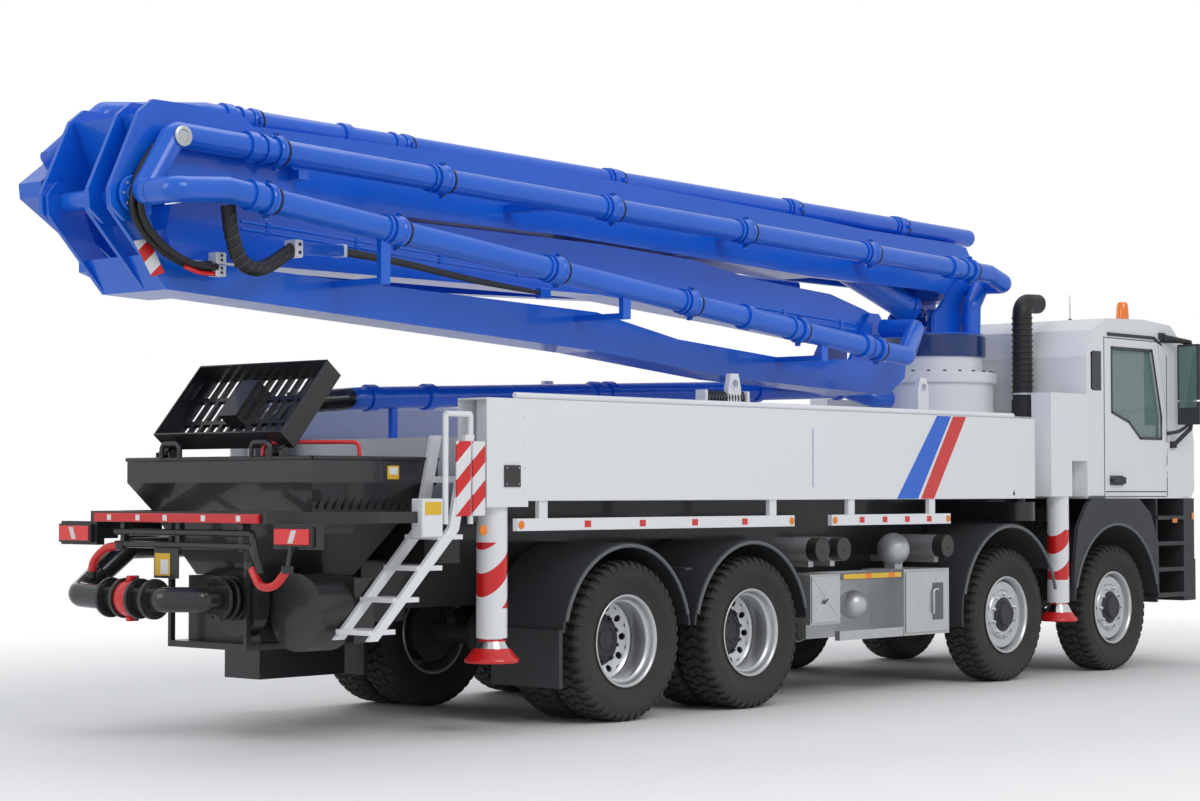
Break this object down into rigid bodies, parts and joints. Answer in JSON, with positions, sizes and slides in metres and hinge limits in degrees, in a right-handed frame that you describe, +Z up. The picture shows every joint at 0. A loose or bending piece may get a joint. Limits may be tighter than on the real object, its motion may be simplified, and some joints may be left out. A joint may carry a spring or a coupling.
{
  "type": "truck-mounted concrete pump",
  "caption": "Four-axle truck that carries a concrete pump, a rear hopper, swing and slide-out outriggers and a folded multi-section placing boom with its delivery pipeline.",
  "frame": {"origin": "on the ground, under the middle of the parked machine", "axes": "+X forward, +Y to the driver's left, +Z up"},
  "size_m": [11.65, 2.92, 4.0817],
  "materials": {
    "white_paint": "gloss",
    "blue_paint": "gloss",
    "black_paint": "satin",
    "silver": "satin",
    "dark_plastic": "matte",
    "tyre": "matte",
    "glass": "gloss",
    "red_paint": "gloss",
    "rod_chrome": "polished",
    "cast": "matte"
  },
  "bodies": {
    "chassis": {"frame_rails": "black_paint", "front_axles": "cast", "rear_axles": "cast", "bogie_springs": "black_paint", "engine_block": "cast", "cab_body": "white_paint", "cab_interior": "dark_plastic", "cab_glass": "glass", "mirrors": "dark_plastic", "front_bumper": "dark_plastic", "fenders": "black_paint", "subframe": "black_paint", "front_housing": "white_paint", "deck": "white_paint", "pedestal": "white_paint", "side_tanks": "silver", "air_intake": "dark_plastic", "hopper": "black_paint", "pump_unit": "black_paint", "delivery_pipe": "blue_paint", "rear_frame": "black_paint", "ladder": "white_paint"},
    "knuckle_1_left": {"knuckle_1_left": "cast"},
    "front_wheel_1_left": {"front_wheel_1_left": "tyre"},
    "knuckle_1_right": {"knuckle_1_right": "cast"},
    "front_wheel_1_right": {"front_wheel_1_right": "tyre"},
    "knuckle_2_left": {"knuckle_2_left": "cast"},
    "front_wheel_2_left": {"front_wheel_2_left": "tyre"},
    "knuckle_2_right": {"knuckle_2_right": "cast"},
    "front_wheel_2_right": {"front_wheel_2_right": "tyre"},
    "twin_wheel_3_left": {"twin_wheel_3_left": "tyre"},
    "twin_wheel_3_right": {"twin_wheel_3_right": "tyre"},
    "twin_wheel_4_left": {"twin_wheel_4_left": "tyre"},
    "twin_wheel_4_right": {"twin_wheel_4_right": "tyre"},
    "cab_door_left": {"cab_door_left": "white_paint", "door_glass_left": "glass"},
    "rear_outrigger_left": {"rear_outrigger_left": "white_paint"},
    "rear_jack_left": {"rear_jack_left": "red_paint"},
    "front_outrigger_left": {"front_outrigger_left": "white_paint"},
    "front_jack_left": {"front_jack_left": "red_paint"},
    "cab_door_right": {"cab_door_right": "white_paint", "door_glass_right": "glass"},
    "rear_outrigger_right": {"rear_outrigger_right": "white_paint"},
    "rear_jack_right": {"rear_jack_right": "red_paint"},
    "front_outrigger_right": {"front_outrigger_right": "white_paint"},
    "front_jack_right": {"front_jack_right": "red_paint"},
    "hopper_grate": {"hopper_grate": "black_paint"},
    "turret": {"turret": "blue_paint"},
    "lift_barrel": {"lift_barrel": "blue_paint"},
    "lift_rod": {"lift_rod": "rod_chrome"},
    "boom_1": {"boom_1": "blue_paint"},
    "boom_2": {"boom_2": "blue_paint"},
    "boom_3": {"boom_3": "blue_paint"},
    "boom_4": {"boom_4": "blue_paint"},
    "boom_5": {"boom_5": "blue_paint"},
    "boom_6": {"boom_6": "blue_paint"}
  },
  "joints": [
    {"name": "steer_1_left", "type": "hinge", "parent": "chassis", "child": "knuckle_1_left", "pos_m": [4.385, 0.955, 0.54], "axis": [0, 0, 1], "range_deg": [-40, 40]},
    {"name": "front_wheel_1_left_spin", "type": "hinge", "parent": "knuckle_1_left", "child": "front_wheel_1_left", "pos_m": [4.385, 1.062, 0.54], "axis": [0, 1, 0], "continuous": true},
    {"name": "steer_1_right", "type": "hinge", "parent": "chassis", "child": "knuckle_1_right", "pos_m": [4.385, -0.955, 0.54], "axis": [0, 0, 1], "range_deg": [-40, 40]},
    {"name": "front_wheel_1_right_spin", "type": "hinge", "parent": "knuckle_1_right", "child": "front_wheel_1_right", "pos_m": [4.385, -1.062, 0.54], "axis": [0, 1, 0], "continuous": true},
    {"name": "steer_2_left", "type": "hinge", "parent": "chassis", "child": "knuckle_2_left", "pos_m": [2.685, 0.955, 0.54], "axis": [0, 0, 1], "range_deg": [-30, 30]},
    {"name": "front_wheel_2_left_spin", "type": "hinge", "parent": "knuckle_2_left", "child": "front_wheel_2_left", "pos_m": [2.685, 1.062, 0.54], "axis": [0, 1, 0], "continuous": true},
    {"name": "steer_2_right", "type": "hinge", "parent": "chassis", "child": "knuckle_2_right", "pos_m": [2.685, -0.955, 0.54], "axis": [0, 0, 1], "range_deg": [-30, 30]},
    {"name": "front_wheel_2_right_spin", "type": "hinge", "parent": "knuckle_2_right", "child": "front_wheel_2_right", "pos_m": [2.685, -1.062, 0.54], "axis": [0, 1, 0], "continuous": true},
    {"name": "twin_wheel_3_left_spin", "type": "hinge", "parent": "chassis", "child": "twin_wheel_3_left", "pos_m": [-0.715, 0.917, 0.54], "axis": [0, 1, 0], "continuous": true},
    {"name": "twin_wheel_3_right_spin", "type": "hinge", "parent": "chassis", "child": "twin_wheel_3_right", "pos_m": [-0.715, -0.917, 0.54], "axis": [0, 1, 0], "continuous": true},
    {"name": "twin_wheel_4_left_spin", "type": "hinge", "parent": "chassis", "child": "twin_wheel_4_left", "pos_m": [-2.065, 0.917, 0.54], "axis": [0, 1, 0], "continuous": true},
    {"name": "twin_wheel_4_right_spin", "type": "hinge", "parent": "chassis", "child": "twin_wheel_4_right", "pos_m": [-2.065, -0.917, 0.54], "axis": [0, 1, 0], "continuous": true},
    {"name": "cab_door_left_hinge", "type": "hinge", "parent": "chassis", "child": "cab_door_left", "pos_m": [5.291, 1.214, 1.64], "axis": [0, 0, -1], "range_deg": [0, 70]},
    {"name": "rear_outrigger_left_swing", "type": "hinge", "parent": "chassis", "child": "rear_outrigger_left", "pos_m": [3.005, 1.12, 1.8], "axis": [0, 0, -1], "range_deg": [0, 85]},
    {"name": "rear_jack_left_lower", "type": "slide", "parent": "rear_outrigger_left", "child": "rear_jack_left", "axis": [0, 0, -1], "range_m": [0, 0.6]},
    {"name": "front_outrigger_left_extend", "type": "slide", "parent": "chassis", "child": "front_outrigger_left", "axis": [0, 1, 0], "range_m": [0, 1.5]},
    {"name": "front_jack_left_lower", "type": "slide", "parent": "front_outrigger_left", "child": "front_jack_left", "axis": [0, 0, -1], "range_m": [0, 0.6]},
    {"name": "cab_door_right_hinge", "type": "hinge", "parent": "chassis", "child": "cab_door_right", "pos_m": [5.291, -1.214, 1.64], "axis": [0, 0, 1], "range_deg": [0, 70]},
    {"name": "rear_outrigger_right_swing", "type": "hinge", "parent": "chassis", "child": "rear_outrigger_right", "pos_m": [3.005, -1.12, 1.8], "axis": [0, 0, 1], "range_deg": [0, 85]},
    {"name": "rear_jack_right_lower", "type": "slide", "parent": "rear_outrigger_right", "child": "rear_jack_right", "axis": [0, 0, -1], "range_m": [0, 0.6]},
    {"name": "front_outrigger_right_extend", "type": "slide", "parent": "chassis", "child": "front_outrigger_right", "axis": [0, -1, 0], "range_m": [0, 1.5]},
    {"name": "front_jack_right_lower", "type": "slide", "parent": "front_outrigger_right", "child": "front_jack_right", "axis": [0, 0, -1], "range_m": [0, 0.6]},
    {"name": "hopper_grate_close", "type": "hinge", "parent": "chassis", "child": "hopper_grate", "pos_m": [-4.555, 0, 1.795], "axis": [0, 1, 0], "range_deg": [0, 50]},
    {"name": "boom_slew", "type": "hinge", "parent": "chassis", "child": "turret", "pos_m": [3.405, 0, 2.8], "axis": [0, 0, 1], "range_deg": [0, 360]},
    {"name": "boom_raise", "type": "hinge", "parent": "turret", "child": "boom_1", "pos_m": [3.625, 0, 3.33], "axis": [0, 1, 0], "range_deg": [0, 87]},
    {"name": "lift_barrel_pivot", "type": "hinge", "parent": "boom_1", "child": "lift_barrel", "pos_m": [1.665, 0, 3.54], "axis": [0, 1, 0], "range_deg": [-15, 15]},
    {"name": "lift_rod_slide", "type": "slide", "parent": "lift_barrel", "child": "lift_rod", "axis": [0.9555, 0, -0.2949], "range_m": [0, 0.8]},
    {"name": "boom_2_fold", "type": "hinge", "parent": "boom_1", "child": "boom_2", "pos_m": [-5.665, 0, 3.29], "axis": [0, 1, 0], "range_deg": [0, 180]},
    {"name": "boom_3_fold", "type": "hinge", "parent": "boom_2", "child": "boom_3", "pos_m": [2.195, 0, 2.886], "axis": [0, 1, 0], "range_deg": [0, 180]},
    {"name": "boom_4_fold", "type": "hinge", "parent": "boom_3", "child": "boom_4", "pos_m": [-5.045, 0.4, 3.08], "axis": [0, -1, 0], "range_deg": [0, 180]},
    {"name": "boom_5_fold", "type": "hinge", "parent": "boom_4", "child": "boom_5", "pos_m": [4.265, 0.64, 3.65], "axis": [0, 1, 0], "range_deg": [0, 180]},
    {"name": "boom_6_fold", "type": "hinge", "parent": "boom_5", "child": "boom_6", "pos_m": [-4.865, 0.88, 3.02], "axis": [0, -1, 0], "range_deg": [0, 180]}
  ],
  "couplings": [
    {"joint": "steer_1_right", "follows": "steer_1_left", "ratio": 1},
    {"joint": "steer_2_left", "follows": "steer_1_left", "ratio": 0.7056},
    {"joint": "steer_2_right", "follows": "steer_1_left", "ratio": 0.7056},
    {"joint": "boom_slew", "follows": "boom_raise", "ratio": 1.8},
    {"joint": "boom_2_fold", "follows": "boom_raise", "ratio": 0.005},
    {"joint": "boom_3_fold", "follows": "boom_raise", "ratio": 0.0004},
    {"joint": "lift_barrel_pivot", "follows": "boom_raise", "ratio": 0.00014},
    {"joint": "lift_rod_slide", "follows": "boom_raise", "m_per_rad": 0.41715}
  ]
}
